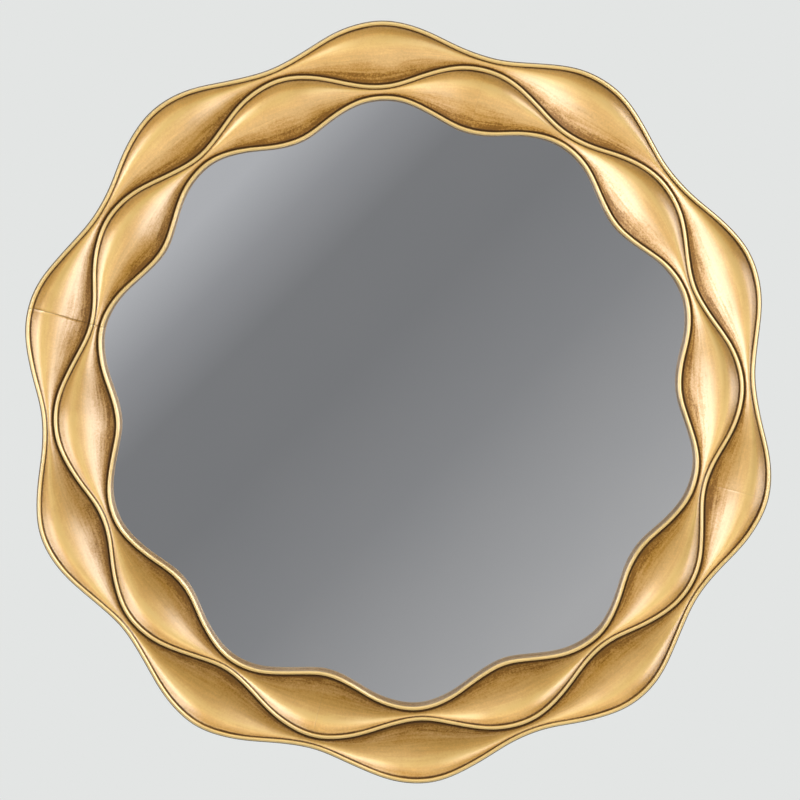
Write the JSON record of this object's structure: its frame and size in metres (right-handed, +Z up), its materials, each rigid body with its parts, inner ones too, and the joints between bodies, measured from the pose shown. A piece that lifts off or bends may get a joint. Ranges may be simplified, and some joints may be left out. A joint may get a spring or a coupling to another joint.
{
  "type": "wall mirror",
  "caption": "Round wall mirror in a carved, gilded wood frame of wavy beads and scooped lobes, with a closed back on turn buttons and strap hangers with swinging rings.",
  "frame": {"origin": "centre of the ring on the plane of the wall, which the bumpers' faces lie in", "axes": "+Z up, +Y into the wall, -Y out of the glass towards the room"},
  "size_m": [0.8779, 0.0367, 0.8988],
  "materials": {
    "gilded_wood": "gold paint over carved wood, with a brown antique glaze in the grooves",
    "beech": "bare turned beech",
    "silvered_glass": "clear float glass, silvered behind",
    "grey_card": "plain grey board",
    "plywood": "bare plywood",
    "brass": "pressed brass",
    "zinc_steel": "zinc-plated steel",
    "bumper_rubber": "matt black rubber"
  },
  "bodies": {
    "mirror": {"frame_quarter_upper_left": "gilded_wood", "frame_quarter_lower_left": "gilded_wood", "frame_quarter_lower_right": "gilded_wood", "frame_quarter_upper_right": "gilded_wood", "joint_dowels": "beech", "mirror_glass": "silvered_glass", "cushion_sheet": "grey_card", "backing_board": "plywood", "turn_button_screws": "zinc_steel", "hanger_strap_left": "zinc_steel", "hanger_strap_right": "zinc_steel", "hanger_screws_left": "zinc_steel", "hanger_screws_right": "zinc_steel", "wall_bumper_left": "bumper_rubber", "wall_bumper_right": "bumper_rubber"},
    "ring_left": {"hanger_ring_left": "zinc_steel"},
    "ring_right": {"hanger_ring_right": "zinc_steel"},
    "button_1": {"turn_button_1": "brass"},
    "button_2": {"turn_button_2": "brass"},
    "button_3": {"turn_button_3": "brass"},
    "button_4": {"turn_button_4": "brass"},
    "button_5": {"turn_button_5": "brass"},
    "button_6": {"turn_button_6": "brass"},
    "button_7": {"turn_button_7": "brass"},
    "button_8": {"turn_button_8": "brass"}
  },
  "joints": [
    {"name": "ring_left_swing", "type": "hinge", "parent": "mirror", "child": "ring_left", "pos_m": [-0.2444, -0.0043, 0.33639], "axis": [-1, 0, 0], "range_deg": [0, 175]},
    {"name": "ring_right_swing", "type": "hinge", "parent": "mirror", "child": "ring_right", "pos_m": [0.2444, -0.0043, 0.33639], "axis": [-1, 0, 0], "range_deg": [0, 175]},
    {"name": "button_1_turn", "type": "hinge", "parent": "mirror", "child": "button_1", "pos_m": [0.35089, -0.007, 0.14534], "axis": [0, 1, 0], "continuous": true},
    {"name": "button_2_turn", "type": "hinge", "parent": "mirror", "child": "button_2", "pos_m": [0.14534, -0.007, 0.35089], "axis": [0, 1, 0], "continuous": true},
    {"name": "button_3_turn", "type": "hinge", "parent": "mirror", "child": "button_3", "pos_m": [-0.14534, -0.007, 0.35089], "axis": [0, 1, 0], "continuous": true},
    {"name": "button_4_turn", "type": "hinge", "parent": "mirror", "child": "button_4", "pos_m": [-0.35089, -0.007, 0.14534], "axis": [0, 1, 0], "continuous": true},
    {"name": "button_5_turn", "type": "hinge", "parent": "mirror", "child": "button_5", "pos_m": [-0.35089, -0.007, -0.14534], "axis": [0, 1, 0], "continuous": true},
    {"name": "button_6_turn", "type": "hinge", "parent": "mirror", "child": "button_6", "pos_m": [-0.14534, -0.007, -0.35089], "axis": [0, 1, 0], "continuous": true},
    {"name": "button_7_turn", "type": "hinge", "parent": "mirror", "child": "button_7", "pos_m": [0.14534, -0.007, -0.35089], "axis": [0, 1, 0], "continuous": true},
    {"name": "button_8_turn", "type": "hinge", "parent": "mirror", "child": "button_8", "pos_m": [0.35089, -0.007, -0.14534], "axis": [0, 1, 0], "continuous": true}
  ]
}
